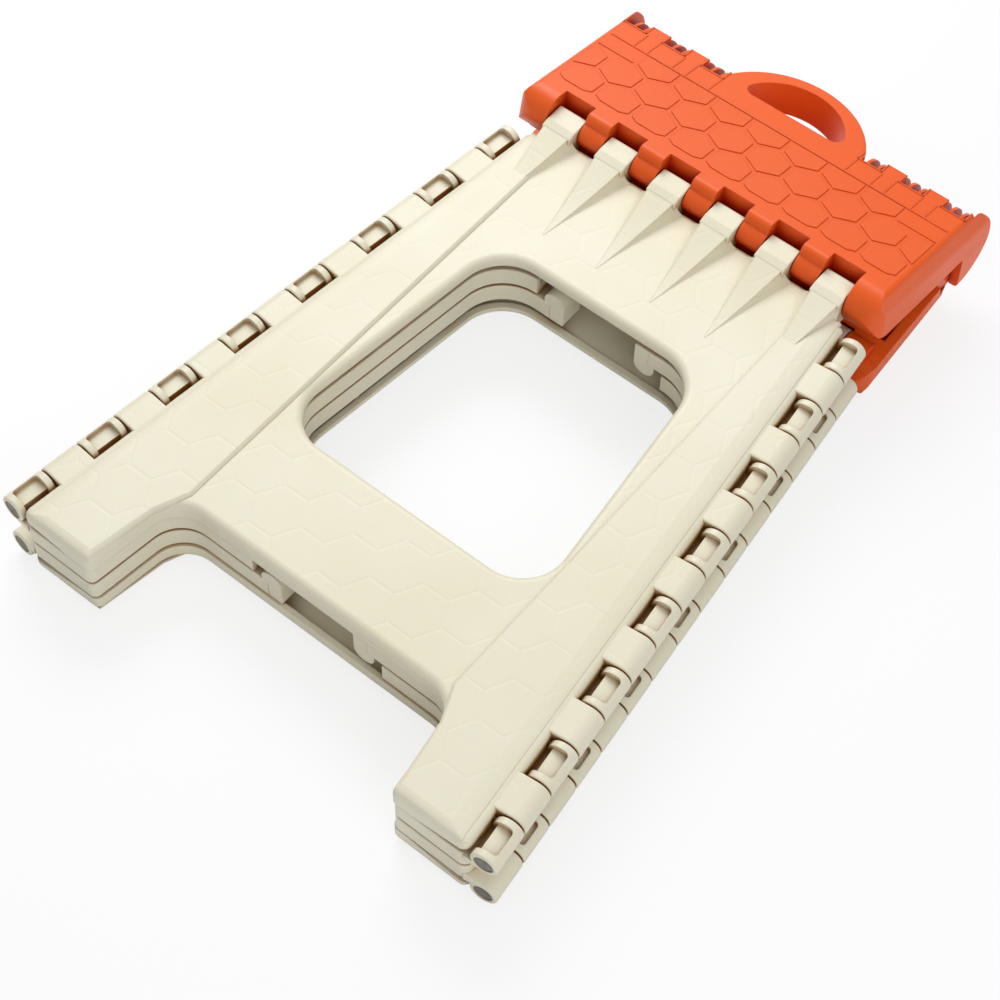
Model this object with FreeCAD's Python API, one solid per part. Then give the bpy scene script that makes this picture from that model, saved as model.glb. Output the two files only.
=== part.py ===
import FreeCAD, Part
import math
import os

# Folding step stool, folded flat and lying on its rear leg panel.
# Millimetres. X along the seat's long side, Y from the feet to the handle, Z up.
# The design frame has Y 0 at the seat hinge and Z 0 in the middle of the fold;
# every shape is moved once, at the end, to the stored frame.

V = FreeCAD.Vector

os.makedirs("parts", exist_ok=True)

# stored frame
SHIFT_Y = 126.124
SHIFT_Z = 39.266

# all mouldings
WALL = 3.0
RIB = 2.0
PAST = 1.0

# leg panels
FOOT_Y = -366.0
PANEL_TOP_Y = -10.4
PANEL_SHOULDER_Y = -19.0
PANEL_IN_Z = 13.0
PANEL_OUT_Z = 23.5
PANEL_RIBS_Y = (-60.0, -278.0)
SIDE_RIBS_Y = (-120.0, -155.0, -190.0, -225.0)
SIDE_RIB_X = 60.0
WINDOW_TOP_Y = -90.0
WINDOW_BOTTOM_Y = -245.0
WINDOW_HALF_TOP = 65.2
WINDOW_HALF_BOTTOM = 81.3
WINDOW_R_TOP = 26.0
WINDOW_R_BOTTOM = 24.0
WINDOW_RIM_Z = 17.7
WINDOW_RIM = 3.6
ARCH_Y = -311.0
ARCH_HALF_TOP = 88.6
ARCH_HALF_FOOT = 94.6
ARCH_R = 19.0
LIP_R = 4.0
FOOT_WEDGE_X = 105.0
FOOT_WEDGE_SLOPE = 0.145
FOOT_WEDGE_LEN = 12.0

# raised plateau beside each side hinge: height over the panel, outer, end and inner insets
RAIL_INNER_X = 82.0
RAIL_SECTIONS = ((-1.5, 3.5, 1.0, 0.0), (0.3, 4.4, 1.5, 0.2), (0.9, 6.0, 2.4, 0.7),
                 (1.4, 8.6, 3.6, 1.2), (1.8, 12.5, 5.5, 1.7))

# side hinges, four rows of knuckles on axes that spread towards the feet
SIDE_SLANT = 0.1038
SIDE_AXIS_X = 110.1
SIDE_AXIS_Z = 15.5
KNUCKLE_R = 7.5
KNUCKLE_PITCH = 46.0
KNUCKLE_FIRST = 22.0
GUSSET_KNUCKLE = 22.8
GUSSET_KNUCKLES = 8
KNUCKLE_GAP = 0.9
KNUCKLE_CLEAR = 0.7
KNUCKLE_ROOT = 11.0
KNUCKLE_EDGE_R = 1.0
POCKET_END = 3.9
POCKET_R = 2.0
POCKET_OUT = 4.3
POCKET_FLOOR = 3.8

# gussets, four folding half sides
GUSSET_IN_Z = 1.0
GUSSET_OUT_Z = 12.6
GUSSET_TOP_Y = -22.5
GUSSET_TOP_CREASE_Y = -27.0
GUSSET_EDGE_CLEAR = 0.9
GUSSET_EDGE_R = 0.9
GUSSET_FOOT_RIBS_Y = (-330.0, -348.0)
GUSSET_CREASE_RIBS_Y = (-45.0, -68.0, -267.0, -289.0)

# creases, where the two halves of a side fold on each other
CREASE_X = 31.5
CREASE_EDGE = 0.6
HOOK_X = 29.6
HOOK_Z = -1.8
HOOK_R = 6.4
HOOK_EDGE_R = 1.2
CREASE_CLEAR = 0.5
CREASE_GAP = 0.6
CREASE_PARTS = 4

# pins
PIN_R = 3.0
PIN_HEAD_R = 5.3
PIN_HEAD_LEN = 3.0
PIN_HEAD_IN = 0.5
PIN_CUP_DEPTH = 1.5
PIN_CLEAR = 0.05
PIN_SHORT = 2.5
SMALL_PIN_R = 2.5
OPEN_CLEAR = 0.4
SEAT_OPEN_CLEAR = 1.2

# six fingers on each leg panel hold the seat hinge
FINGERS = 6
FINGER_PITCH = 35.0
FINGER_HALF = 9.3
FINGER_GAP = 0.6
FINGER_TOP_Z = 33.0
FINGER_EDGE_R = 0.8
RIDGE_START_Y = -13.0
RIDGE_END_Y = -70.0
RIDGE_STEPS = 6
RIDGE_RISE = 8.0
RIDGE_END_RISE = 0.12
RIDGE_FALL = 1.75
RIDGE_HALF = 8.6
RIDGE_END_HALF = 0.4
RIDGE_BLEND = 5.6
RIDGE_END_BLEND = 0.9
RIDGE_SINK = 0.3

# seat
SEAT_TILT = math.radians(11.13)
SEAT_HINGE_DEPTH = 23.5
SEAT_BARREL_R = 7.5
CENTRE_HINGE_U = 80.1
CENTRE_HINGE_DEPTH = 23.54
SEAT_SKIN = 3.0
SEAT_HALF = 119.8
BAND_TOP_IN = 5.8
BAND_MID_IN = 1.2
BAND_MID_DEPTH = 10.5
BAND_TOP_R = 4.0
BAND_MID_R = 12.0
SEAT_END_WALL = 5.3
SEAT_CORNER_R = 12.0
SEAT_EDGE_DEPTH_LEG = 26.5
SEAT_EDGE_DEPTH_CENTRE = 23.2
TRAY_U = 11.6
CROSS_WALL_U = 56.0
CROSS_WALL = 2.6
TRAY_RIB_DEPTH = 19.0
TRAY_RIB_U = 34.0
TOOTH_TIP_U = 83.9
TOOTH_HALF = 6.5
SLOT_U = 76.1
SLOT_RIM = 2.05
SLOT_PITCH = 26.55
SLOT_HALF = 7.05
SLOTS = 3
RIB_OFFSET = 3.3
RIB_R = 19.6
RIB_CLEAR_R = 20.9
NOSE_R = 23.4
NOSE_CLEAR = 1.3
NOSE_EDGE_R = 2.5
NOSE_BACK = 5.0
STEP_THICK = 3.5
STEP_TOP = 3.6
BOSS_R = 7.0

# orange knuckles between the fingers: rounded top edge over a bulging barrel
ROW_TOP_U = -6.5
ROW_TOP_R = 4.0
ROW_BARREL_U = -3.5
ROW_BARREL_DEPTH = 13.5
ROW_BARREL_R = 8.0
ROW_DEPTH = 29.5
ROW_BACK_U = 7.5
EAR_U = -14.5
EAR_TOP_R = 12.0
EAR_BACK_U = 14.0
RECESS_U = 1.9
RECESS_BACK_U = 8.7

# handle
HANDLE_CENTRE_U = 61.0
HANDLE_R = 50.7
HANDLE_DEPTH = 20.0
HANDLE_EDGE_R = 2.2
HANDLE_HALF = 46.6
HANDLE_ROOT_U = 66.0
HANDLE_WEB_HALF = 40.0
HOLE_CENTRE_U = 69.8
HOLE_R = 33.9
HOLE_CHORD_U = 76.4
HOLE_CORNER_R = 5.5
RECESS_CLEAR = 1.5
RECESS_WALL = 2.6
RECESS_DEPTH = 21.5

BIG = 60.0
SEAT_WALL_X = SEAT_HALF - SEAT_END_WALL
SEAT_BORE_X = SEAT_HALF - 1.6
LAST_SLOT_X = SEAT_WALL_X - SLOT_RIM - SLOT_HALF
SLOT_CENTRES = [LAST_SLOT_X - k * SLOT_PITCH for k in range(SLOTS)]
AXIS_END = KNUCKLE_FIRST + (GUSSET_KNUCKLES - 1) * KNUCKLE_PITCH + GUSSET_KNUCKLE
FINGER_X = [(k - (FINGERS - 1) / 2.0) * FINGER_PITCH for k in range(FINGERS)]
ROW_HALF = FINGER_X[-1] + FINGER_HALF + FINGER_GAP


def rounded_wire(points, radii, place):
    # closed wire through 2D points, each corner rounded to its radius
    n = len(points)
    starts = []
    ends = []
    mids = []
    for i in range(n):
        p = points[i]
        a = points[i - 1]
        b = points[(i + 1) % n]
        r = radii[i]
        if r <= 0:
            starts.append(p)
            ends.append(p)
            mids.append(None)
            continue
        da = (a[0] - p[0], a[1] - p[1])
        db = (b[0] - p[0], b[1] - p[1])
        la = math.hypot(*da)
        lb = math.hypot(*db)
        ua = (da[0] / la, da[1] / la)
        ub = (db[0] / lb, db[1] / lb)
        half = math.acos(max(-1.0, min(1.0, ua[0] * ub[0] + ua[1] * ub[1]))) / 2.0
        t = r / math.tan(half)
        s = (p[0] + ua[0] * t, p[1] + ua[1] * t)
        e = (p[0] + ub[0] * t, p[1] + ub[1] * t)
        bis = (ua[0] + ub[0], ua[1] + ub[1])
        lbis = math.hypot(*bis)
        c = r / math.sin(half)
        cx = p[0] + bis[0] / lbis * c
        cy = p[1] + bis[1] / lbis * c
        m = (cx - bis[0] / lbis * r, cy - bis[1] / lbis * r)
        starts.append(s)
        ends.append(e)
        mids.append(m)
    edges = []
    for i in range(n):
        if mids[i] is not None:
            edges.append(Part.Arc(place(*starts[i]), place(*mids[i]), place(*ends[i])).toShape())
        nxt = starts[(i + 1) % n]
        if math.hypot(nxt[0] - ends[i][0], nxt[1] - ends[i][1]) > 1e-6:
            edges.append(Part.LineSegment(place(*ends[i]), place(*nxt)).toShape())
    return Part.Wire(edges)


def plate(points, radii, z0, z1):
    # upright prism from an outline in the XY plane
    wire = rounded_wire(points, radii, lambda x, y: V(x, y, z0))
    return Part.Face(wire).extrude(V(0, 0, z1 - z0))


def side_prism(points, x0, x1):
    # prism along X from an outline in the YZ plane
    pts = [V(x0, p[0], p[1]) for p in points]
    return Part.Face(Part.makePolygon(pts + [pts[0]])).extrude(V(x1 - x0, 0, 0))


def rounded_side_prism(points, radii, x0, x1):
    wire = rounded_wire(points, radii, lambda y, z: V(x0, y, z))
    return Part.Face(wire).extrude(V(x1 - x0, 0, 0))


def long_prism(points, radii, y0, y1):
    # prism along Y from an outline in the XZ plane
    wire = rounded_wire(points, radii, lambda x, z: V(x, y0, z))
    return Part.Face(wire).extrude(V(0, y1 - y0, 0))


def rod(x0, x1, y, z, r):
    return Part.makeCylinder(r, x1 - x0, V(x0, y, z), V(1, 0, 0))


def long_rod(y0, y1, x, z, r):
    return Part.makeCylinder(r, y1 - y0, V(x, y0, z), V(0, 1, 0))


def slab(x0, x1, y0, y1, z0, z1):
    return Part.makeBox(x1 - x0, y1 - y0, z1 - z0, V(x0, y0, z0))


def fuse_all(shapes):
    first = shapes[0]
    if len(shapes) > 1:
        first = first.multiFuse(shapes[1:])
    return first.removeSplitter()


def fuse_cutters(cutters):
    if len(cutters) == 1:
        return cutters[0]
    return cutters[0].multiFuse(cutters[1:])


def cut_all(shape, cutters):
    return shape.cut(fuse_cutters(cutters))


def side_frame(point_s):
    # place on the right-hand upper side axis: local X outward, Y up the axis, Z up
    a = SIDE_SLANT
    origin = V(SIDE_AXIS_X + point_s * math.sin(a), -point_s * math.cos(a), SIDE_AXIS_Z)
    m = FreeCAD.Matrix()
    m.A11 = math.cos(a)
    m.A21 = math.sin(a)
    m.A12 = -math.sin(a)
    m.A22 = math.cos(a)
    m.A14 = origin.x
    m.A24 = origin.y
    m.A34 = origin.z
    return FreeCAD.Placement(m)


def on_side(shape, point_s):
    s = shape.copy()
    s.Placement = side_frame(point_s).multiply(s.Placement)
    return s


def side_rod(s0, s1, r):
    return on_side(long_rod(s0 - s1, 0, 0, 0, r), s0)


def knuckle_span(i):
    s0 = KNUCKLE_FIRST + i * KNUCKLE_PITCH
    return s0, s0 + GUSSET_KNUCKLE


def mirror_x(shape):
    return shape.mirror(V(0, 0, 0), V(1, 0, 0))


def mirror_z(shape):
    return shape.mirror(V(0, 0, 0), V(0, 0, 1))


def half_turn(shape):
    # turn by 180 degrees about Y, which swaps the front and rear of the fold
    s = shape.copy()
    s.rotate(V(0, 0, 0), V(0, 1, 0), 180)
    return s


def notch_x(y, inset=0.0):
    # edge of the panels beside the side hinge, clear of the knuckles
    n = KNUCKLE_R + KNUCKLE_CLEAR + inset
    return SIDE_AXIS_X - n / math.cos(SIDE_SLANT) - y * math.tan(SIDE_SLANT)


def both_sides(points, radii):
    # complete a right-half outline, listed from the top centre to the bottom centre
    left = [(-p[0], p[1]) for p in reversed(points)]
    return points + left, radii + list(reversed(radii))


def knuckle(length, z0, z1, rounded_z):
    # one knuckle at the side axis: a barrel, and the block that roots it in its moulding
    barrel = long_rod(-length, 0, 0, 0, KNUCKLE_R)
    rims = [e for e in barrel.Edges if e.BoundBox.YLength < 1e-4]
    barrel = barrel.makeFillet(KNUCKLE_EDGE_R, rims)
    root = slab(-KNUCKLE_ROOT, 0, -length, 0, z0, z1)
    ends = []
    for e in root.Edges:
        box = e.BoundBox
        if box.YLength < 1e-4 and box.ZLength < 1e-4 and abs(box.ZMax - rounded_z) < 1e-4:
            ends.append(e)
    return fuse_all([barrel, root.makeFillet(KNUCKLE_EDGE_R, ends)])


def knuckle_pocket(length, in_n, z0, z1):
    # coring in a knuckle, with rounded ends
    y0 = POCKET_END - length
    y1 = -POCKET_END
    pts = [(in_n, y0), (POCKET_OUT, y0), (POCKET_OUT, y1), (in_n, y1)]
    return plate(pts, [0, POCKET_R, POCKET_R, 0], z0, z1)


# leg panels


def window_points(grow):
    top = WINDOW_TOP_Y + grow
    bottom = WINDOW_BOTTOM_Y - grow
    right = [(WINDOW_HALF_TOP + grow, top), (WINDOW_HALF_BOTTOM + grow, bottom)]
    return both_sides(right, [WINDOW_R_TOP + grow, WINDOW_R_BOTTOM + grow])


def panel_points(inset):
    right = [
        (ROW_HALF - 2.2 - inset, PANEL_TOP_Y - inset),
        (ROW_HALF + 1.1 - inset, PANEL_SHOULDER_Y - inset),
        (notch_x(PANEL_SHOULDER_Y, inset), PANEL_SHOULDER_Y - inset),
        (notch_x(FOOT_Y, inset), FOOT_Y + inset),
        (ARCH_HALF_FOOT + inset, FOOT_Y + inset),
        (ARCH_HALF_TOP + inset, ARCH_Y + inset),
    ]
    radii = [2.0, 2.0, 2.0, max(1.0, 5.0 - inset), max(1.0, 4.0 - inset), ARCH_R + inset]
    return both_sides(right, radii)


def ridge(x):
    # raised rib that runs from a hinge finger down the panel, narrows and fades out
    wires = []
    foot = PANEL_OUT_Z - RIDGE_SINK
    for k in range(RIDGE_STEPS + 1):
        s = k / RIDGE_STEPS
        y = RIDGE_END_Y + s * (RIDGE_START_Y - RIDGE_END_Y)
        rise = RIDGE_END_RISE + (RIDGE_RISE - RIDGE_END_RISE) * s ** RIDGE_FALL + RIDGE_SINK
        half = RIDGE_END_HALF + (RIDGE_HALF - RIDGE_END_HALF) * s
        blend = RIDGE_END_BLEND + (RIDGE_BLEND - RIDGE_END_BLEND) * s
        base = half + blend
        mid_x = base - blend * 0.707
        mid_z = foot + rise * 0.293
        top = foot + rise
        left = Part.Arc(V(x - base, y, foot), V(x - mid_x, y, mid_z), V(x - half, y, top))
        right = Part.Arc(V(x + half, y, top), V(x + mid_x, y, mid_z), V(x + base, y, foot))
        corners = [V(x + base, y, foot), V(x + base, y, foot - 1.0), V(x - base, y, foot - 1.0),
                   V(x - base, y, foot)]
        edges = [left.toShape(), Part.LineSegment(V(x - half, y, top), V(x + half, y, top)).toShape()]
        edges.append(right.toShape())
        for a, b in zip(corners, corners[1:]):
            edges.append(Part.LineSegment(a, b).toShape())
        wires.append(Part.Wire(edges))
    pts, radii = panel_points(0)
    return Part.makeLoft(wires, True, False).common(plate(pts, radii, PANEL_IN_Z, FINGER_TOP_Z))


def finger(x):
    # hinge finger: a hooked block with a rounded tip, and its barrel on the hinge axis
    body = rounded_side_prism(
        [(-16.0, PANEL_IN_Z + 1.0), (-16.0, 31.0), (-11.0, 32.4), (0.6, FINGER_TOP_Z), (2.4, 24.0),
         (7.0, 19.0), (4.0, PANEL_IN_Z - 3.0), (-8.0, PANEL_IN_Z - 1.0)],
        [0, 1.0, 2.0, 2.2, 4.0, 0.5, 0.5, 2.0],
        x - FINGER_HALF, x + FINGER_HALF)
    top = [e for e in body.Edges if e.BoundBox.XLength < 1e-6 and e.BoundBox.ZMin > 24.5]
    body = body.makeFillet(FINGER_EDGE_R, top)
    barrel = rod(x - FINGER_HALF, x + FINGER_HALF, 0, SIDE_AXIS_Z, SEAT_BARREL_R)
    return [body, barrel]


def rail(sign):
    # raised plateau beside the side hinge, with soft slopes
    wires = []
    for rise, out_inset, end_inset, in_inset in RAIL_SECTIONS:
        pts = [
            (RAIL_INNER_X + in_inset, -14.0 - end_inset),
            (notch_x(-30.0, out_inset), -17.0 - end_inset),
            (notch_x(FOOT_Y + end_inset, out_inset), FOOT_Y + end_inset),
            (ARCH_HALF_FOOT + 1.2 + in_inset, FOOT_Y + end_inset),
            (ARCH_HALF_TOP + 1.2 + in_inset, ARCH_Y - 14.0),
            (RAIL_INNER_X + in_inset, ARCH_Y + 4.5),
        ]
        z = PANEL_OUT_Z + rise
        wires.append(Part.makePolygon([V(sign * p[0], p[1], z) for p in pts + [pts[0]]]))
    return Part.makeLoft(wires, True, True)


def panel_knuckle(i):
    s0 = knuckle_span(i)[1] + KNUCKLE_GAP
    s1 = knuckle_span(i + 1)[0] - KNUCKLE_GAP
    length = s1 - s0
    solid = knuckle(length, -2.0, KNUCKLE_R, KNUCKLE_R)
    solid = solid.cut(knuckle_pocket(length, -POCKET_OUT, -KNUCKLE_R - PAST, -POCKET_FLOOR))
    return on_side(solid, s0)


def leg_panel():
    pts, radii = panel_points(0)
    base = plate(pts, radii, PANEL_IN_Z, PANEL_OUT_Z)
    wpts, wradii = window_points(0)
    base = base.cut(plate(wpts, wradii, PANEL_IN_Z - PAST, PANEL_OUT_Z + PAST))
    top_edges = []
    for e in base.Edges:
        box = e.BoundBox
        flat = abs(box.ZMin - PANEL_OUT_Z) < 1e-4 and abs(box.ZMax - PANEL_OUT_Z) < 1e-4
        inner = box.YMin > WINDOW_BOTTOM_Y - PAST and box.YMax < WINDOW_TOP_Y + PAST
        window = inner and box.XMax < WINDOW_HALF_BOTTOM + PAST and box.XMin > -WINDOW_HALF_BOTTOM - PAST
        low = box.YMax < ARCH_Y + PAST
        arch = low and box.XMax < ARCH_HALF_FOOT + PAST and box.XMin > -ARCH_HALF_FOOT - PAST
        if flat and (window or arch):
            top_edges.append(e)
    base = base.makeFillet(LIP_R, top_edges)
    ipts, iradii = panel_points(WALL)
    hollow = plate(ipts, iradii, PANEL_IN_Z - PAST, PANEL_OUT_Z - WALL)
    gpts, gradii = window_points(WINDOW_RIM)
    hollow = hollow.cut(plate(gpts, gradii, PANEL_IN_Z - 2 * PAST, PANEL_OUT_Z))
    low = PANEL_IN_Z - 2 * PAST
    ribs = [slab(-BIG * 3, BIG * 3, y - RIB / 2, y + RIB / 2, low, PANEL_OUT_Z) for y in PANEL_RIBS_Y]
    for y in SIDE_RIBS_Y:
        ribs.append(slab(-BIG * 3, -SIDE_RIB_X, y - RIB / 2, y + RIB / 2, low, PANEL_OUT_Z))
        ribs.append(slab(SIDE_RIB_X, BIG * 3, y - RIB / 2, y + RIB / 2, low, PANEL_OUT_Z))
    hollow = cut_all(hollow, ribs)
    base = base.cut(hollow)
    # the rim of the window is lower than the outer walls
    rim_cut = plate(gpts, gradii, PANEL_IN_Z - PAST, WINDOW_RIM_Z)
    end = FOOT_WEDGE_X + BIG
    wedge = [(FOOT_WEDGE_X, PANEL_IN_Z), (end, PANEL_IN_Z + FOOT_WEDGE_SLOPE * BIG),
             (end, PANEL_IN_Z - PAST), (FOOT_WEDGE_X, PANEL_IN_Z - PAST)]
    foot_cut = long_prism(wedge, [0, 0, 0, 0], FOOT_Y - PAST, FOOT_Y + FOOT_WEDGE_LEN)
    base = cut_all(base, [rim_cut, foot_cut, mirror_x(foot_cut)])
    extra = [rail(1), rail(-1)]
    for x in FINGER_X:
        extra += finger(x)
        extra.append(ridge(x))
    for i in range(GUSSET_KNUCKLES - 1):
        one = panel_knuckle(i)
        extra += [one, mirror_x(one)]
    panel = fuse_all([base] + extra)
    bores = [side_rod(KNUCKLE_FIRST - 12.0, AXIS_END + 10, PIN_R + PIN_CLEAR)]
    bores.append(mirror_x(bores[0]))
    bores.append(rod(-BIG * 2, BIG * 2, 0, SIDE_AXIS_Z, SMALL_PIN_R + PIN_CLEAR))
    return panel.cut(fuse_cutters(bores))


# gussets


def gusset_points(inset, crease_inset):
    c = CREASE_X + CREASE_EDGE + crease_inset
    edge = GUSSET_EDGE_CLEAR + inset
    w_top = WINDOW_TOP_Y + edge
    w_bottom = WINDOW_BOTTOM_Y - edge
    pts = [
        (c, GUSSET_TOP_CREASE_Y - inset),
        (notch_x(GUSSET_TOP_Y, inset), GUSSET_TOP_Y - inset),
        (notch_x(FOOT_Y, inset), FOOT_Y + inset),
        (ARCH_HALF_FOOT + edge, FOOT_Y + inset),
        (ARCH_HALF_TOP + edge, ARCH_Y + edge),
        (c, ARCH_Y + edge),
        (c, w_bottom),
        (WINDOW_HALF_BOTTOM + edge, w_bottom),
        (WINDOW_HALF_TOP + edge, w_top),
        (c, w_top),
    ]
    radii = [0, 3, max(1.0, 5 - inset), max(1.0, 4 - inset), ARCH_R + inset, 0, 0,
             WINDOW_R_BOTTOM + inset, WINDOW_R_TOP + inset, 0]
    return pts, radii


def crease_runs():
    # the window interrupts the crease, so it has an upper and a lower run
    edge = GUSSET_EDGE_CLEAR
    return ((GUSSET_TOP_CREASE_Y - 0.3, WINDOW_TOP_Y + edge), (WINDOW_BOTTOM_Y - edge, ARCH_Y + edge))


def crease_segments():
    segs = []
    for top, bottom in crease_runs():
        step = (top - bottom) / CREASE_PARTS
        for k in range(CREASE_PARTS):
            segs.append((top - k * step, top - (k + 1) * step, k))
    return segs


def hook(y0, y1):
    # crease knuckle: a hook that hangs past the middle of the fold, round the crease pin
    r = HOOK_R - 0.01
    pts = [(HOOK_X - HOOK_R, GUSSET_OUT_Z), (HOOK_X - HOOK_R, HOOK_Z - HOOK_R),
           (HOOK_X + HOOK_R, HOOK_Z - HOOK_R), (HOOK_X + HOOK_R, GUSSET_OUT_Z)]
    return long_prism(pts, [HOOK_EDGE_R, r, r, 0], y0, y1)


def gusset_base():
    pts, radii = gusset_points(0, 0)
    base = plate(pts, radii, GUSSET_IN_Z, GUSSET_OUT_Z)
    edges = []
    for e in base.Edges:
        box = e.BoundBox
        level = box.ZLength < 1e-4
        window = box.YMin > WINDOW_BOTTOM_Y - 2 * PAST and box.YMax < WINDOW_TOP_Y + 2 * PAST
        arch = box.YMax < ARCH_Y + 2 * PAST and box.XMax < ARCH_HALF_FOOT + 6.0
        if level and ((window and box.XMax < WINDOW_HALF_BOTTOM + 2 * PAST) or arch):
            edges.append(e)
    return base.makeFillet(GUSSET_EDGE_R, edges)


def gusset_knuckle(i):
    s0, s1 = knuckle_span(i)
    length = s1 - s0
    solid = knuckle(length, -KNUCKLE_R, GUSSET_OUT_Z - SIDE_AXIS_Z, -KNUCKLE_R)
    solid = solid.cut(knuckle_pocket(length, -KNUCKLE_ROOT, POCKET_FLOOR - 0.3, KNUCKLE_R + PAST))
    deep = slab(-KNUCKLE_ROOT, -POCKET_OUT, POCKET_END - length, -POCKET_END, -2.0, KNUCKLE_R)
    return on_side(solid.cut(deep), s0)


def gusset(owns_last, crease_bore_clear):
    # right front gusset; owns_last says whether it has the crease hooks at the openings
    base = gusset_base()
    ipts, iradii = gusset_points(WALL, WALL)
    hollow = plate(ipts, iradii, GUSSET_IN_Z + WALL, GUSSET_OUT_Z + PAST)
    keep = []
    for y in SIDE_RIBS_Y + GUSSET_FOOT_RIBS_Y:
        keep.append(slab(SIDE_RIB_X, BIG * 3, y - RIB / 2, y + RIB / 2, GUSSET_IN_Z, GUSSET_OUT_Z + PAST))
    for y in GUSSET_CREASE_RIBS_Y:
        keep.append(slab(CREASE_X, SIDE_AXIS_X, y - RIB / 2, y + RIB / 2, GUSSET_IN_Z, GUSSET_OUT_Z + PAST))
    hollow = cut_all(hollow, keep)
    base = base.cut(hollow)
    reach = HOOK_R + math.hypot(CREASE_X - HOOK_X, HOOK_Z) + CREASE_CLEAR
    cutters = []
    hooks = []
    for y1, y0, k in crease_segments():
        mine = (k % 2 == 1) == owns_last
        if mine:
            hooks.append(hook(y0 + CREASE_GAP / 2, y1 - CREASE_GAP / 2))
        else:
            a = y0 - CREASE_GAP / 2
            b = y1 + CREASE_GAP / 2
            cutters.append(long_rod(a, b, CREASE_X, 0, reach))
            cutters.append(slab(CREASE_X - BIG / 2, CREASE_X + reach, a, b, -PAST, GUSSET_OUT_Z + PAST))
    base = cut_all(base, cutters)
    knuckles = [gusset_knuckle(i) for i in range(GUSSET_KNUCKLES)]
    body = fuse_all([base] + hooks + knuckles)
    bores = [side_rod(KNUCKLE_FIRST - 12.0, AXIS_END + 10, PIN_R)]
    bores.append(side_rod(AXIS_END - PIN_HEAD_LEN - PIN_HEAD_IN, AXIS_END + 5, PIN_HEAD_R))
    r = SMALL_PIN_R + crease_bore_clear
    for top, bottom in crease_runs():
        bores.append(long_rod(bottom + PIN_SHORT - 0.5, top - PIN_SHORT + 0.5, CREASE_X, 0, r))
    return body.cut(fuse_cutters(bores))


# pins


def side_pin():
    # riveted rod with a cupped head at the foot end
    shaft = side_rod(KNUCKLE_FIRST + 3.0, AXIS_END - 2.0, PIN_R)
    face = AXIS_END - PIN_HEAD_IN
    head = side_rod(face - PIN_HEAD_LEN, face, PIN_HEAD_R)
    cup = Part.makeCone(PIN_HEAD_R - 0.9, PIN_R - 1.0, PIN_CUP_DEPTH, V(0, 0, 0), V(0, 1, 0))
    return fuse_all([shaft, head]).cut(on_side(cup, face))


def crease_pin(top, bottom):
    return long_rod(bottom + PIN_SHORT, top - PIN_SHORT, CREASE_X, 0, SMALL_PIN_R)


# The seat halves are drawn in a level frame: Y is the distance u from the leg
# hinge and Z is 0 on the top face, then tipped into the folded pose.


def seat_place(shape):
    s = shape.copy()
    s.translate(V(0, 0, SEAT_HINGE_DEPTH))
    s.rotate(V(0, 0, 0), V(1, 0, 0), -math.degrees(SEAT_TILT))
    s.translate(V(0, 0, SIDE_AXIS_Z))
    return s


def end_profile():
    # cross-section along the seat, with the rounded band below the top edge
    right = [(SEAT_HALF - BAND_TOP_IN, 0), (SEAT_HALF - BAND_MID_IN, -BAND_MID_DEPTH),
             (SEAT_HALF, -SEAT_EDGE_DEPTH_LEG), (SEAT_HALF, -BIG)]
    pts, radii = both_sides(right, [BAND_TOP_R, BAND_MID_R, 3.0, 0])
    return long_prism(pts, radii, -BIG, 3 * BIG)


def plan_profile():
    pts = [(-SEAT_HALF, 3 * BIG), (-SEAT_HALF, EAR_U), (SEAT_HALF, EAR_U), (SEAT_HALF, 3 * BIG)]
    return plate(pts, [0, SEAT_CORNER_R, SEAT_CORNER_R, 0], -2 * BIG, 10)


def hinge_row():
    # band round the leg hinge before the finger recesses are cut, and the ears at its ends
    top = rounded_side_prism(
        [(ROW_BACK_U, 0), (ROW_TOP_U, 0), (ROW_TOP_U, -10.0), (ROW_BACK_U, -10.0)],
        [0, ROW_TOP_R, 0, 0], -ROW_HALF, ROW_HALF)
    bulge = rod(-ROW_HALF, ROW_HALF, ROW_BARREL_U, -ROW_BARREL_DEPTH, ROW_BARREL_R)
    foot = rounded_side_prism(
        [(ROW_BACK_U, -9.0), (-5.0, -9.0), (-SEAT_BARREL_R, -SEAT_HINGE_DEPTH), (-6.0, -ROW_DEPTH),
         (ROW_BACK_U, -ROW_DEPTH)],
        [0, 0, 3.0, 4.0, 0], -ROW_HALF, ROW_HALF)
    barrel = rod(-112, 112, 0, -SEAT_HINGE_DEPTH, SEAT_BARREL_R)
    ear = rounded_side_prism(
        [(EAR_BACK_U, 0), (EAR_U, 0), (EAR_U, -17.0), (-8.0, -SEAT_EDGE_DEPTH_LEG),
         (EAR_BACK_U, -SEAT_EDGE_DEPTH_LEG + 0.5)],
        [0, EAR_TOP_R, 8.0, 6.0, 0], ROW_HALF, SEAT_HALF)
    return [top, bulge, foot, barrel, ear, mirror_x(ear)]


def finger_recess(x):
    h = FINGER_HALF + FINGER_GAP
    return side_prism(
        [(-BIG, 2), (RECESS_U, 2), (RECESS_U, -11.0), (RECESS_BACK_U, -17.0), (RECESS_BACK_U, -BIG),
         (-BIG, -BIG)], x - h, x + h)


def tooth_gaps(front):
    # slots of the front half, and the gaps between the teeth of the rear half
    inner = SLOT_CENTRES[::-1]
    if front:
        spans = [(c - SLOT_HALF, c + SLOT_HALF) for c in inner]
    else:
        edges = [40.0]
        for c in inner:
            edges += [c - TOOTH_HALF, c + TOOTH_HALF]
        edges.append(SEAT_HALF + PAST)
        spans = [(edges[k], edges[k + 1]) for k in range(0, len(edges), 2)]
    cutters = []
    for x0, x1 in spans:
        one = slab(x0, x1, SLOT_U, SLOT_U + 24.0, -SEAT_SKIN - PAST, PAST)
        cutters += [one, mirror_x(one)]
    return cutters


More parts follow.
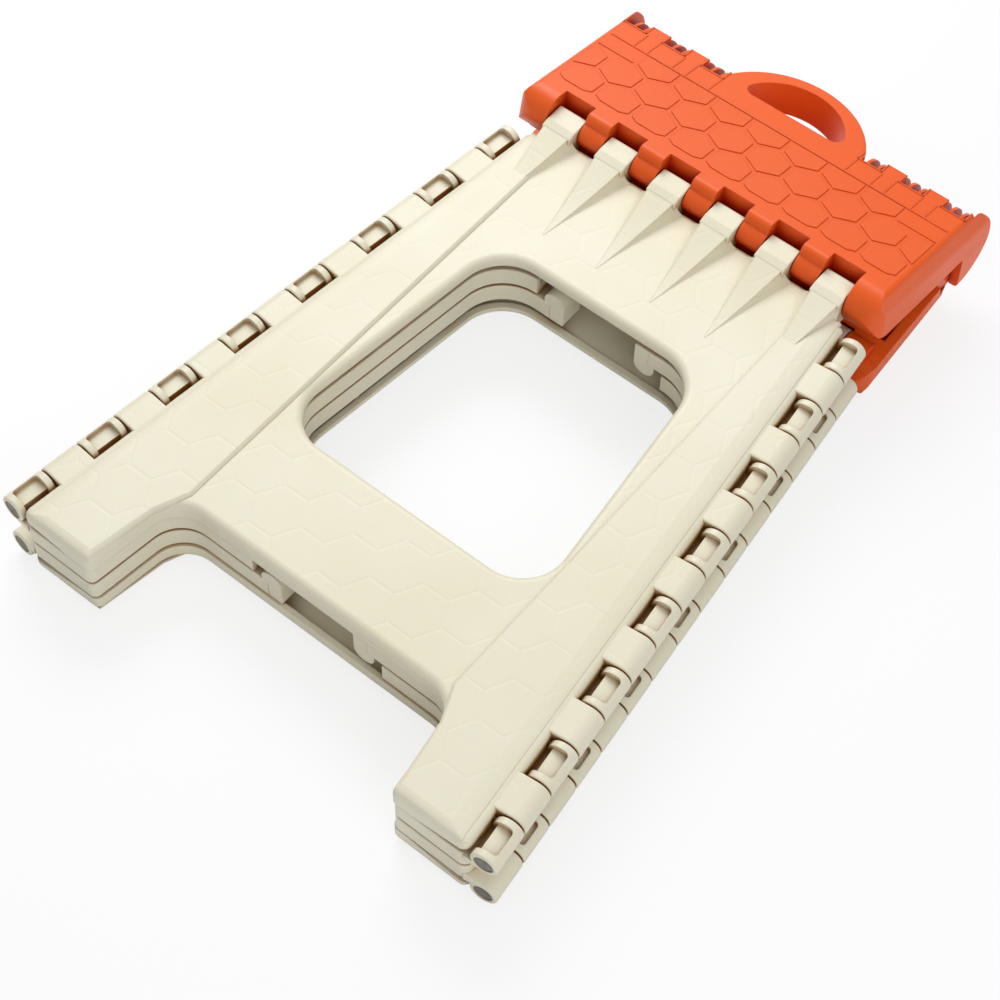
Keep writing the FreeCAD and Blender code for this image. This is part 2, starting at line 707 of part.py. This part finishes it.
def centre_ribs(front):
    # webs and discs round the centre hinge, under the slots of one half and between those of the other
    c_u = CENTRE_HINGE_U
    c_w = -CENTRE_HINGE_DEPTH
    middles = SLOT_CENTRES
    if not front:
        middles = [c - SLOT_PITCH / 2 for c in SLOT_CENTRES[:-1]]
    low = -SEAT_EDGE_DEPTH_CENTRE
    ribs = []
    for m in middles:
        for x in (m - RIB_OFFSET, m + RIB_OFFSET):
            x0 = x - RIB / 2
            x1 = x + RIB / 2
            web = side_prism([(CROSS_WALL_U, -2.0), (75.0, -2.0), (75.0, low), (CROSS_WALL_U, low - 0.9)], x0, x1)
            d = rod(x0, x1, c_u, c_w, RIB_R)
            under = [(0, low - 1.4), (c_u - 9.0, low - 1.4), (c_u - 9.0, -BIG), (0, -BIG)]
            d = d.cut(side_prism(under, x0 - PAST, x1 + PAST))
            one = web.fuse(d)
            ribs += [one, mirror_x(one)]
    return ribs


def seat_body(front):
    c_u = CENTRE_HINGE_U
    c_w = -CENTRE_HINGE_DEPTH
    wide = SEAT_HALF + PAST
    back = CROSS_WALL_U + CROSS_WALL
    edge = [(-2.0, 0), (TOOTH_TIP_U, 0), (TOOTH_TIP_U, -SEAT_SKIN), (back, -SEAT_SKIN),
            (back, -24.2), (2.0, -SEAT_EDGE_DEPTH_LEG), (-2.0, -SEAT_EDGE_DEPTH_LEG)]
    body = side_prism(edge, -wide, wide)
    wall = side_prism(
        [(40, 0), (c_u - 0.4, 0), (c_u - 0.4, -SEAT_EDGE_DEPTH_CENTRE), (40, -25.0)], SEAT_WALL_X, wide)
    parts = [body, wall, mirror_x(wall)] + hinge_row()
    if front:
        nose = rod(SEAT_WALL_X, SEAT_HALF, c_u, c_w, NOSE_R)
        rim = [e for e in nose.Edges if e.BoundBox.XMin > SEAT_HALF - 0.01]
        nose = nose.makeFillet(NOSE_EDGE_R, rim)
        under = side_prism(
            [(c_u - NOSE_BACK, c_w), (c_u + 1.0, c_w - NOSE_R - PAST), (c_u - BIG, c_w - NOSE_R - PAST),
             (c_u - BIG, c_w)], SEAT_WALL_X - PAST, wide)
        nose = nose.cut(under)
        parts += [nose, mirror_x(nose)]
    solid = fuse_all(parts)
    return solid.common(end_profile()).common(plan_profile())


def tray_hollow():
    # hollow underside between the hinge row and the cross wall, with its ribs left standing
    x1 = SEAT_WALL_X - 0.4
    hollow = side_prism(
        [(TRAY_U, -SEAT_SKIN), (CROSS_WALL_U, -SEAT_SKIN), (CROSS_WALL_U, -BIG), (TRAY_U, -BIG)], -x1, x1)
    keep = []
    for x in FINGER_X:
        keep.append(slab(x - RIB / 2, x + RIB / 2, 8, 60, -TRAY_RIB_DEPTH, 0))
    keep.append(slab(-BIG * 2, BIG * 2, TRAY_RIB_U - RIB / 2, TRAY_RIB_U + RIB / 2, -TRAY_RIB_DEPTH, 0))
    return cut_all(hollow, keep)


def seat_half(front):
    c_u = CENTRE_HINGE_U
    c_w = -CENTRE_HINGE_DEPTH
    solid = seat_body(front).cut(tray_hollow())
    solid = cut_all(solid, tooth_gaps(front) + [finger_recess(x) for x in FINGER_X])
    if front:
        solid = add_handle(solid)
    else:
        solid = cut_recess(solid)
    # clear round the centre hinge, then its ribs
    clear = rod(-SEAT_WALL_X + 0.4, SEAT_WALL_X - 0.4, c_u, c_w, RIB_CLEAR_R)
    if front:
        clear = clear.cut(slab(-HANDLE_HALF - 0.9, HANDLE_HALF + 0.9, 0, 130, -70, 10))
    solid = solid.cut(clear)
    solid = fuse_all([solid] + centre_ribs(front))
    if not front:
        x1 = SEAT_WALL_X - 0.5
        x0 = x1 - STEP_THICK
        step = slab(x0, x1, 46, c_u - 0.5, -SEAT_EDGE_DEPTH_CENTRE, -STEP_TOP)
        boss = rod(x0, x1, c_u, c_w, BOSS_R)
        web = side_prism([(c_u - 12, -12.0), (c_u + 5, c_w + 6.0), (c_u + 5, c_w), (c_u - 12, -23.2)], x0, x1)
        one = fuse_all([step, boss, web])
        solid = fuse_all([solid, one, mirror_x(one)])
        far = rod(SEAT_WALL_X - 0.4, SEAT_HALF + 10, c_u, c_w, NOSE_R + NOSE_CLEAR)
        solid = cut_all(solid, [far, mirror_x(far)])
    bores = [rod(-112.2, 112.2, 0, -SEAT_HINGE_DEPTH, SMALL_PIN_R)]
    r = SMALL_PIN_R + (0 if front else SEAT_OPEN_CLEAR)
    bore = rod(45.0, SEAT_BORE_X, c_u, c_w, r)
    bores += [bore, mirror_x(bore)]
    return solid.cut(fuse_cutters(bores))


def add_handle(solid):
    loop = Part.makeCylinder(HANDLE_R, HANDLE_DEPTH, V(0, HANDLE_CENTRE_U, -HANDLE_DEPTH), V(0, 0, 1))
    loop = loop.common(slab(-HANDLE_HALF, HANDLE_HALF, HANDLE_ROOT_U, 3 * BIG, -BIG, 5))
    edges = [e for e in loop.Edges if e.BoundBox.ZLength < 1e-4 and e.BoundBox.YMax > 100]
    loop = loop.makeFillet(HANDLE_EDGE_R, edges)
    hole = Part.makeCylinder(HOLE_R, BIG, V(0, HOLE_CENTRE_U, -50), V(0, 0, 1))
    hole = hole.cut(slab(-BIG, BIG, 0, HOLE_CHORD_U, -BIG, 20))
    upright = [e for e in hole.Edges if abs(e.BoundBox.ZLength - BIG) < 0.1 and e.BoundBox.XLength < 0.1]
    upright = [e for e in upright if e.BoundBox.YMax < HOLE_CHORD_U + 0.5]
    hole = hole.makeFillet(HOLE_CORNER_R, upright)
    h = HANDLE_HALF
    solid = solid.cut(slab(-h, h, HANDLE_ROOT_U, 100, -SEAT_SKIN - PAST, PAST))
    bridge = slab(-h, h, CROSS_WALL_U, HANDLE_ROOT_U, -HANDLE_DEPTH, -SEAT_SKIN)
    h = HANDLE_WEB_HALF
    under = slab(-h, h, CROSS_WALL_U - PAST, HANDLE_ROOT_U - CROSS_WALL, -HANDLE_DEPTH - PAST, -SEAT_SKIN)
    bridge = bridge.cut(under)
    return fuse_all([solid, loop, bridge]).cut(hole)


def cut_recess(solid):
    # the other half's handle lies in this round recess once the seat is open
    centre = 2 * CENTRE_HINGE_U - HANDLE_CENTRE_U
    r = HANDLE_R + RECESS_CLEAR
    ring = Part.makeCylinder(r + RECESS_WALL, RECESS_DEPTH, V(0, centre, -RECESS_DEPTH), V(0, 0, 1))
    ring = ring.common(slab(-BIG, BIG, 0, TOOTH_TIP_U, -BIG, 10))
    hole = Part.makeCylinder(r, 2 * BIG, V(0, centre, -2 * BIG + 10), V(0, 0, 1))
    return fuse_all([solid, ring]).cut(hole)


def export(name, shape):
    s = shape.copy()
    s.translate(V(0, SHIFT_Y, SHIFT_Z))
    solids = s.Solids
    s = solids[0] if len(solids) == 1 else Part.makeCompound(solids)
    s.exportStep("parts/" + name + ".step")
    box = s.BoundBox
    print(name, "solids", len(solids), "valid", s.isValid(), "volume", round(s.Volume / 1000.0, 1),
          "x", round(box.XMin, 1), round(box.XMax, 1), "y", round(box.YMin, 1), round(box.YMax, 1),
          "z", round(box.ZMin, 1), round(box.ZMax, 1))


front_panel = leg_panel()
export("front_leg_panel", front_panel)
export("rear_leg_panel", half_turn(front_panel))

right_front = gusset(True, OPEN_CLEAR)
right_rear_up = gusset(False, 0)
export("right_front_gusset", right_front)
export("right_rear_gusset", mirror_z(right_rear_up))
left_rear = gusset(True, 0)
left_front = gusset(False, PIN_CLEAR)
export("left_rear_gusset", half_turn(left_rear))
export("left_front_gusset", mirror_x(left_front))

pin = side_pin()
export("right_front_side_pin", pin)
export("left_front_side_pin", mirror_x(pin))
export("right_rear_side_pin", mirror_z(pin))
export("left_rear_side_pin", half_turn(pin))

for label, run in zip(("upper", "lower"), crease_runs()):
    c = crease_pin(*run)
    export("right_" + label + "_crease_pin", c)
    export("left_" + label + "_crease_pin", mirror_x(c))

handle_half = seat_half(True)
recess_half = seat_half(False)
export("seat_half_with_handle", seat_place(handle_half))
export("seat_half_with_recess", mirror_z(seat_place(recess_half)))

hinge_pin = rod(-111.0, 111.0, 0, -SEAT_HINGE_DEPTH, SMALL_PIN_R)
export("front_seat_leg_pin", seat_place(hinge_pin))
export("rear_seat_leg_pin", mirror_z(seat_place(hinge_pin)))
centre_pin = rod(46.0, SEAT_BORE_X - 0.4, CENTRE_HINGE_U, -CENTRE_HINGE_DEPTH, SMALL_PIN_R)
export("right_seat_centre_pin", seat_place(centre_pin))
export("left_seat_centre_pin", seat_place(mirror_x(centre_pin)))
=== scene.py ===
import math

import bpy
from mathutils import Matrix, Vector


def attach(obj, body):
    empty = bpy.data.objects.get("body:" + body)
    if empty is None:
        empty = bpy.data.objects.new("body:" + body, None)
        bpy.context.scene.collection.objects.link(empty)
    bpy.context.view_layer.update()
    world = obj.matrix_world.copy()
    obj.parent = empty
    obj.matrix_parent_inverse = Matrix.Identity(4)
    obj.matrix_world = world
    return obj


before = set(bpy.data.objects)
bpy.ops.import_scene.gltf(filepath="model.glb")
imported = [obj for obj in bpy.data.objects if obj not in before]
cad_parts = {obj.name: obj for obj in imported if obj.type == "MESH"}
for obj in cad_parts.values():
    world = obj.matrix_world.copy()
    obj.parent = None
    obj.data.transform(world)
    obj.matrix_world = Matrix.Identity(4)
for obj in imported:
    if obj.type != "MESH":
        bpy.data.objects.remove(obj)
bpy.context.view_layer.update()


# Leg panels and gussets: ivory moulded plastic, satin, with a faint honeycomb on the
# flat faces and a painted warm brown shade in the gaps. Their shapes stay as they were built.
MM = 0.001
HINGE_Y = 126.124 * MM
MID_Z = 39.266 * MM
PANEL_HEX_FLAT = 26.9 * MM
PANEL_COLUMN = 22.1 * MM
PANEL_HEX_Y = -44.5 * MM
IVORY = "#EEEAD6"
IVORY_WARM = "#E6DFC2"
# painted shade colour for the gaps and creases of the ivory parts
IVORY_GAP_SHADE = "#A06C22"
IVORY_ROUGH = 0.36
IVORY_GRAIN = 0.9 * MM


def linear(hex_colour):
    # sRGB hex to the linear values that the shader sockets take
    parts = [int(hex_colour[i:i + 2], 16) / 255 for i in (1, 3, 5)]
    return [c / 12.92 if c <= 0.04045 else ((c + 0.055) / 1.055) ** 2.4 for c in parts] + [1.0]


def add_node(tree, kind, settings=None, sockets=None, links=None):
    # one shader node, its settings, the values of its sockets and what feeds them
    node = tree.nodes.new(kind)
    for name, value in (settings or {}).items():
        setattr(node, name, value)
    for name, value in (sockets or {}).items():
        node.inputs[name].default_value = value
    for name, source in (links or {}).items():
        tree.links.new(source, node.inputs[name])
    return node


def moulded(name, main, tint, gap_shade, rough, grain):
    # slow drift in tone and gloss, painted shade in the gaps (a darker, warmer colour where ambient occlusion
    # finds them), a fine mould grain and soft edges; gives the material, and the nodes that a section needs
    # to go on from
    mat = bpy.data.materials.new(name)
    mat.use_nodes = True
    tree = mat.node_tree
    tree.nodes.clear()
    coords = add_node(tree, "ShaderNodeTexCoord").outputs["Object"]
    drift = add_node(tree, "ShaderNodeTexNoise", None, {"Scale": 1 / (70 * MM), "Detail": 2.0},
                     {"Vector": coords}).outputs["Fac"]
    tone = add_node(tree, "ShaderNodeMix", {"data_type": "RGBA"}, None, {"Factor": drift})
    tone.inputs[6].default_value = linear(main)
    tone.inputs[7].default_value = linear(tint)
    # painted shade: where ambient occlusion finds a gap or crease, the base colour is mixed towards the
    # darker gap-shade colour
    shut = add_node(tree, "ShaderNodeAmbientOcclusion", {"samples": 6}, {"Distance": 13 * MM}).outputs["AO"]
    clear = add_node(tree, "ShaderNodeMapRange", {"interpolation_type": "SMOOTHSTEP"},
                     {"From Min": 0.2, "From Max": 0.78}, {"Value": shut}).outputs["Result"]
    shade = add_node(tree, "ShaderNodeMix", {"data_type": "RGBA"}, None, {"Factor": clear})
    shade.inputs[6].default_value = linear(gap_shade)
    tree.links.new(tone.outputs[2], shade.inputs[7])
    gloss = add_node(tree, "ShaderNodeMapRange", None, {"To Min": rough - 0.05, "To Max": rough + 0.06},
                     {"Value": drift}).outputs["Result"]
    fine = add_node(tree, "ShaderNodeTexNoise", None, {"Scale": 1 / grain, "Detail": 1.0},
                    {"Vector": coords}).outputs["Fac"]
    edge = add_node(tree, "ShaderNodeBevel", {"samples": 4}, {"Radius": 0.8 * MM}).outputs["Normal"]
    bump = add_node(tree, "ShaderNodeBump", None, {"Strength": 0.25, "Distance": 0.03 * MM},
                    {"Height": fine, "Normal": edge}).outputs["Normal"]
    bsdf = add_node(tree, "ShaderNodeBsdfPrincipled", None,
                    {"Subsurface Weight": 0.12, "Subsurface Radius": (3 * MM, 1.6 * MM, 0.7 * MM),
                     "Subsurface Scale": 1.0, "Specular IOR Level": 0.36},
                    {"Base Color": shade.outputs[2], "Roughness": gloss, "Normal": bump})
    add_node(tree, "ShaderNodeOutputMaterial", None, None, {"Surface": bsdf.outputs["BSDF"]})
    return mat, coords, bump, bsdf


# The plain ivory plastic of the folding sides.
ivory = moulded("polypropylene, moulded satin ivory", IVORY, IVORY_WARM, IVORY_GAP_SHADE,
                IVORY_ROUGH, IVORY_GRAIN)[0]
for name in ("left_front_gusset", "left_rear_gusset", "right_front_gusset", "right_rear_gusset"):
    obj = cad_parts[name]
    obj.data.materials.clear()
    obj.data.materials.append(ivory)

# The panels' level faces carry a very faint net of hexagons with their flats across the stool:
# the nearest of two sets of cell centres is found, and a shallow groove follows the cell's edge.
panel_ivory, coords, bump, bsdf = moulded("polypropylene, moulded honeycomb ivory", IVORY, IVORY_WARM,
                                          IVORY_GAP_SHADE, IVORY_ROUGH, IVORY_GRAIN)
tree = panel_ivory.node_tree
cell = (PANEL_HEX_FLAT * math.sqrt(3), PANEL_HEX_FLAT, 1.0)
half_cell = (cell[0] / 2, cell[1] / 2, 0.5)
low_cell = (-cell[0] / 2, -cell[1] / 2, -0.5)
flat = add_node(tree, "ShaderNodeVectorMath", {"operation": "MULTIPLY_ADD"}, None, {0: coords})
flat.inputs[1].default_value = (PANEL_HEX_FLAT * math.sqrt(3) / 2 / PANEL_COLUMN, 1, 0)
flat.inputs[2].default_value = (0, -PANEL_HEX_Y - HINGE_Y, 0)
shifted = add_node(tree, "ShaderNodeVectorMath", {"operation": "ADD"}, {1: half_cell}, {0: flat.outputs[0]})
cells = []
for source in (flat, shifted):
    wrapped = add_node(tree, "ShaderNodeVectorMath", {"operation": "WRAP"}, {1: half_cell, 2: low_cell},
                       {0: source.outputs[0]})
    kept = add_node(tree, "ShaderNodeVectorMath", {"operation": "MULTIPLY"}, {1: (1, 1, 0)},
                    {0: wrapped.outputs[0]})
    size = add_node(tree, "ShaderNodeVectorMath", {"operation": "LENGTH"}, None, {0: kept.outputs[0]})
    cells.append((kept.outputs[0], size.outputs["Value"]))
nearer = add_node(tree, "ShaderNodeMath", {"operation": "LESS_THAN"}, None, {0: cells[1][1], 1: cells[0][1]})
own = add_node(tree, "ShaderNodeMix", {"data_type": "VECTOR"}, None, {"Factor": nearer.outputs[0]})
tree.links.new(cells[0][0], own.inputs[4])
tree.links.new(cells[1][0], own.inputs[5])
around = add_node(tree, "ShaderNodeVectorMath", {"operation": "ABSOLUTE"}, None, {0: own.outputs[1]})
slant = add_node(tree, "ShaderNodeVectorMath", {"operation": "DOT_PRODUCT"}, {1: (0.866, 0.5, 0)},
                 {0: around.outputs[0]})
across = add_node(tree, "ShaderNodeSeparateXYZ", None, None, {0: around.outputs[0]})
reach = add_node(tree, "ShaderNodeMath", {"operation": "MAXIMUM"}, None,
                 {0: slant.outputs["Value"], 1: across.outputs["Y"]})
groove = add_node(tree, "ShaderNodeMapRange", {"interpolation_type": "SMOOTHSTEP"},
                  {"From Min": PANEL_HEX_FLAT / 2 - 1.3 * MM, "From Max": PANEL_HEX_FLAT / 2 - 0.2 * MM,
                   "To Min": 1.0, "To Max": 0.0}, {"Value": reach.outputs[0]})
facing = add_node(tree, "ShaderNodeNewGeometry")
upright = add_node(tree, "ShaderNodeSeparateXYZ", None, None, {0: facing.outputs["Normal"]})
level = add_node(tree, "ShaderNodeMath", {"operation": "ABSOLUTE"}, None, {0: upright.outputs["Z"]})
flat_only = add_node(tree, "ShaderNodeMath", {"operation": "GREATER_THAN"}, {1: 0.9}, {0: level.outputs[0]})
height = add_node(tree, "ShaderNodeMath", {"operation": "MULTIPLY"}, None,
                  {0: groove.outputs["Result"], 1: flat_only.outputs[0]})
net = add_node(tree, "ShaderNodeBump", None, {"Strength": 0.2, "Distance": 0.25 * MM},
               {"Height": height.outputs[0], "Normal": bump})
tree.links.new(net.outputs["Normal"], bsdf.inputs["Normal"])
for name in ("front_leg_panel", "rear_leg_panel"):
    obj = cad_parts[name]
    obj.data.materials.clear()
    obj.data.materials.append(panel_ivory)


# Hinge pins: cut steel wire with cupped, upset heads that show at the feet. The grain makes
# the gloss uneven, as on a wire end that was cut and pressed.
PIN_GRAIN = 0.6 * MM
PIN_EDGE = 0.3 * MM
steel = bpy.data.materials.new("steel wire, cut and cupped")
steel.use_nodes = True
tree = steel.node_tree
tree.nodes.clear()
coords = add_node(tree, "ShaderNodeTexCoord").outputs["Object"]
grain = add_node(tree, "ShaderNodeTexNoise", None, {"Scale": 1 / PIN_GRAIN, "Detail": 3.0},
                 {"Vector": coords}).outputs["Fac"]
rough = add_node(tree, "ShaderNodeMapRange", None, {"To Min": 0.22, "To Max": 0.42},
                 {"Value": grain}).outputs["Result"]
edge = add_node(tree, "ShaderNodeBevel", {"samples": 4}, {"Radius": PIN_EDGE}).outputs["Normal"]
bump = add_node(tree, "ShaderNodeBump", None, {"Strength": 0.4, "Distance": 0.03 * MM},
                {"Height": grain, "Normal": edge}).outputs["Normal"]
bsdf = add_node(tree, "ShaderNodeBsdfPrincipled", None,
                {"Base Color": linear("#8E8A85"), "Metallic": 1.0}, {"Roughness": rough, "Normal": bump})
add_node(tree, "ShaderNodeOutputMaterial", None, None, {"Surface": bsdf.outputs["BSDF"]})
for name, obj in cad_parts.items():
    if "pin" in name:
        obj.data.materials.clear()
        obj.data.materials.append(steel)


# Seat halves: orange moulded plastic, satin, with a painted deep red shade in the gaps between knuckles and
# slots.
ORANGE = "#F26420"
ORANGE_WARM = "#EE5C18"
# painted shade colour for the gaps, grooves and slots of the orange parts
ORANGE_GAP_SHADE = "#B01800"
ORANGE_ROUGH = 0.38
ORANGE_GRAIN = 0.8 * MM
orange = moulded("polypropylene, moulded satin orange", ORANGE, ORANGE_WARM, ORANGE_GAP_SHADE,
                 ORANGE_ROUGH, ORANGE_GRAIN)[0]
for name in ("seat_half_with_handle", "seat_half_with_recess"):
    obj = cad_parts[name]
    obj.data.materials.clear()
    obj.data.materials.append(orange)

# The tread on the seat: low honeycomb pads with grooves between, a raised line beside the
# slots with short ridges that run on to them, and a thin rim round each slot. It is drawn
# level, with Y as the distance from the leg hinge, and then tipped on to its seat half.
SEAT_TILT = math.radians(11.13)
SEAT_DEPTH = 23.5 * MM
AXIS_Z = 15.5 * MM
HEX_PITCH = 24.6 * MM
HEX_GROOVE = 2.6 * MM
ROW_PITCH = 19.4 * MM
ROW_U = (16.75 * MM, 36.15 * MM, 55.55 * MM)
ROW_X = ((0, 1, 2, 3, 4), (0.5, 1.5, 2.5, 3.5, 4.5), (0, 1, 2, 3))
PAD_RISE = 0.5 * MM
PAD_SINK = 0.6 * MM
FIELD_U = (8.6 * MM, 59.6 * MM)
FIELD_X = 111.0 * MM
LINE_U = 60.9 * MM
SLOT_X = (52.3 * MM, 78.85 * MM, 105.4 * MM)
SLOT_HALF = 7.05 * MM
SLOT_U = 76.1 * MM
TIP_U = 83.6 * MM
RIM = 1.0 * MM
RIM_RISE = 0.4 * MM
LINE_RISE = 0.45 * MM
LINE_HALF = 0.6 * MM
RIDGE_X = (45 * MM, 61 * MM, 70 * MM, 87 * MM, 96 * MM)
RIDGE_RISE = 0.35 * MM
RIDGE_HALF = 0.5 * MM
END_LINE_X = 87.5 * MM
END_LINE_U = 48.9 * MM
TREAD_EDGE = 0.48 * MM
TREAD_ROUGH = 0.4
HATCH = 1.0 * MM / 0.55
RECESS_U = 99.2 * MM
RECESS_R = 53.8 * MM
RECESS_CUT = 30 * MM

tread, coords, bump, bsdf = moulded("polypropylene, moulded orange with anti-slip lines", ORANGE,
                                    ORANGE_WARM, ORANGE_GAP_SHADE, TREAD_ROUGH, ORANGE_GRAIN)
tree = tread.node_tree
lines = add_node(tree, "ShaderNodeTexWave", {"bands_direction": "DIAGONAL"}, {"Scale": 1 / HATCH},
                 {"Vector": coords}).outputs["Fac"]
hatch = add_node(tree, "ShaderNodeBump", None, {"Strength": 0.35, "Distance": 0.06 * MM},
                 {"Height": lines, "Normal": bump})
tree.links.new(hatch.outputs["Normal"], bsdf.inputs["Normal"])


def strip(x0, x1, u0, u1, rise):
    # a low bar on the seat, sunk a little into it
    middle = ((x0 + x1) / 2, (u0 + u1) / 2, (rise - PAD_SINK) / 2)
    bpy.ops.mesh.primitive_cube_add(size=1.0, location=middle, scale=(x1 - x0, u1 - u0, rise + PAD_SINK))
    return bpy.context.object


def joined(parts):
    # one object of several, with its places and scales applied
    bpy.ops.object.select_all(action="DESELECT")
    for part in parts:
        part.select_set(True)
    bpy.context.view_layer.objects.active = parts[0]
    bpy.ops.object.join()
    bpy.ops.object.transform_apply(location=True, rotation=True, scale=True)
    return bpy.context.object


def tread_piece(name, slotted):
    # slotted is the half with the handle; the other half has teeth and the round recess instead
    parts = []
    radius = (HEX_PITCH - HEX_GROOVE) / math.sqrt(3)
    squash = ROW_PITCH / (HEX_PITCH * math.sqrt(3) / 2)
    for u, places in zip(ROW_U, ROW_X):
        for k in sorted({sign * place for place in places for sign in (-1, 1)}):
            bpy.ops.mesh.primitive_cylinder_add(vertices=6, radius=radius, depth=PAD_RISE + PAD_SINK,
                                                location=(k * HEX_PITCH, u, (PAD_RISE - PAD_SINK) / 2),
                                                scale=(1, squash, 1))
            parts.append(bpy.context.object)
    pads = joined(parts)
    bpy.ops.object.mode_set(mode="EDIT")
    for at, way in (((0, FIELD_U[0], 0), (0, -1, 0)), ((0, FIELD_U[1], 0), (0, 1, 0)),
                    ((FIELD_X, 0, 0), (1, 0, 0)), ((-FIELD_X, 0, 0), (-1, 0, 0))):
        bpy.ops.mesh.select_all(action="SELECT")
        bpy.ops.mesh.bisect(plane_co=at, plane_no=way, use_fill=True, clear_outer=True)
    bpy.ops.object.mode_set(mode="OBJECT")
    bars = [strip(-FIELD_X, FIELD_X, LINE_U - LINE_HALF, LINE_U + LINE_HALF, LINE_RISE)]
    for side in (-1, 1):
        for x in RIDGE_X:
            at = side * x
            bars.append(strip(at - RIDGE_HALF, at + RIDGE_HALF, LINE_U, SLOT_U - RIM, RIDGE_RISE))
        for x in SLOT_X if slotted else ():
            at = side * x
            for edge_x in (at - SLOT_HALF - RIM / 2, at + SLOT_HALF + RIM / 2):
                bars.append(strip(edge_x - RIM / 2, edge_x + RIM / 2, SLOT_U - RIM, TIP_U, RIM_RISE))
            bars.append(strip(at - SLOT_HALF - RIM, at + SLOT_HALF + RIM, SLOT_U - RIM, SLOT_U, RIM_RISE))
        inner_x, outer_x = sorted((side * END_LINE_X, side * FIELD_X))
        bars.append(strip(inner_x, outer_x, END_LINE_U - LINE_HALF, END_LINE_U + LINE_HALF, LINE_RISE))
    piece = joined([pads] + bars)
    piece.name = name
    if not slotted:
        bpy.ops.mesh.primitive_cylinder_add(vertices=96, radius=RECESS_R, depth=RECESS_CUT,
                                            location=(0, RECESS_U, 0))
        cutter = bpy.context.object
        bpy.ops.object.select_all(action="DESELECT")
        piece.select_set(True)
        bpy.context.view_layer.objects.active = piece
        cut = piece.modifiers.new("recess", "BOOLEAN")
        cut.operation = "DIFFERENCE"
        cut.use_self = True
        cut.object = cutter
        bpy.ops.object.modifier_apply(modifier="recess")
        bpy.data.objects.remove(cutter)
    bpy.ops.object.shade_smooth()
    soft = piece.modifiers.new("soft", "BEVEL")
    soft.width = TREAD_EDGE
    soft.segments = 3
    soft.limit_method = "ANGLE"
    soft.harden_normals = True
    bpy.ops.object.modifier_apply(modifier="soft")
    piece.data.materials.append(tread)
    return piece


def seat_matrix(mirrored):
    # from the level drawing to the folded seat half; the rear half is the mirror image in Z
    tip = Matrix.Translation((0, 0, AXIS_Z)) @ Matrix.Rotation(-SEAT_TILT, 4, "X")
    tip = tip @ Matrix.Translation((0, 0, SEAT_DEPTH))
    if mirrored:
        tip = Matrix.Diagonal((1, 1, -1, 1)) @ tip
    return Matrix.Translation((0, HINGE_Y, MID_Z)) @ tip


front_tread = tread_piece("front_seat_tread", True)
front_tread.data.transform(seat_matrix(False))
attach(front_tread, "front_seat")

rear_tread = tread_piece("rear_seat_tread", False)
rear_tread.data.transform(seat_matrix(True))
rear_tread.data.flip_normals()
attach(rear_tread, "rear_seat")


# A white floor that the fold rests on, tipped so that it meets the rear seat's low edge and
# the feet; the camera sees it almost white, with the object's faint shadow.
LOW_SEAT = Vector((0, 0.132, 0.0))
LOW_FOOT = Vector((0, -0.237, 0.0137))
bpy.ops.object.select_all(action="DESELECT")
bpy.ops.mesh.primitive_plane_add(size=6.0, location=(0, 0, 0))
floor = bpy.context.object
floor.name = "floor"
slope = math.atan2(LOW_SEAT.z - LOW_FOOT.z, LOW_SEAT.y - LOW_FOOT.y)
floor.matrix_world = Matrix.Translation(LOW_SEAT) @ Matrix.Rotation(slope, 4, "X")
floor_mat = bpy.data.materials.new("white card, bright to the camera")
floor_mat.use_nodes = True
floor.data.materials.append(floor_mat)
tree = floor_mat.node_tree
tree.nodes.clear()
path = add_node(tree, "ShaderNodeLightPath")
seen = add_node(tree, "ShaderNodeMath", {"operation": "MAXIMUM"}, None,
                {0: path.outputs["Is Camera Ray"], 1: path.outputs["Is Transmission Ray"]})
share = add_node(tree, "ShaderNodeMath", {"operation": "MULTIPLY"}, {1: 0.8}, {0: seen.outputs[0]})
card = add_node(tree, "ShaderNodeBsdfPrincipled", None, {"Base Color": (0.9, 0.9, 0.92, 1), "Roughness": 0.3})
glow = add_node(tree, "ShaderNodeEmission", None, {"Color": (1, 1, 1, 1), "Strength": 1.0})
both = add_node(tree, "ShaderNodeMixShader", None, None,
                {0: share.outputs[0], 1: card.outputs["BSDF"], 2: glow.outputs["Emission"]})
add_node(tree, "ShaderNodeOutputMaterial", None, None, {"Surface": both.outputs["Shader"]})

# Soft daylight studio: a white world and two soft boxes, the larger one behind the far left corner.
world = bpy.data.worlds.new("studio")
bpy.context.scene.world = world
world.use_nodes = True
world.node_tree.nodes["Background"].inputs["Color"].default_value = (1, 1, 1, 1)
world.node_tree.nodes["Background"].inputs["Strength"].default_value = 0.46


def softbox(name, at, aim, size, power):
    lamp = bpy.data.lights.new(name, "AREA")
    lamp.shape = "RECTANGLE"
    lamp.size = size[0]
    lamp.size_y = size[1]
    lamp.energy = power
    obj = bpy.data.objects.new(name, lamp)
    obj.matrix_world = Matrix.Translation(at) @ (aim - at).to_track_quat("-Z", "Y").to_matrix().to_4x4()
    bpy.context.scene.collection.objects.link(obj)


softbox("key", Vector((-0.9, 0.9, 1.3)), Vector((0, 0, 0)), (1.2, 1.0), 21)
softbox("fill", Vector((1.2, -0.6, 1.0)), Vector((0, 0, 0)), (1.0, 1.0), 7)

# The camera stands up and to the right of the feet, far enough for an 87 mm lens.
camera_at = Vector((429.2 * MM, -719.4 * MM + HINGE_Y, 1006.4 * MM + MID_Z))
right = Vector((0.776, 0.630, 0.013))
forward = Vector((-0.336, 0.431, -0.837)).normalized()
right = (right - forward * right.dot(forward)).normalized()
up = right.cross(forward)
camera = bpy.data.cameras.new("camera")
camera.sensor_width = 36.0
camera.lens = 87.0
camera.clip_end = 20.0
camera_object = bpy.data.objects.new("camera", camera)
turn = Matrix((right, up, -forward)).transposed().to_4x4()
camera_object.matrix_world = Matrix.Translation(camera_at) @ turn
bpy.context.scene.collection.objects.link(camera_object)
bpy.context.scene.camera = camera_object
bpy.context.scene.view_settings.view_transform = "Standard"
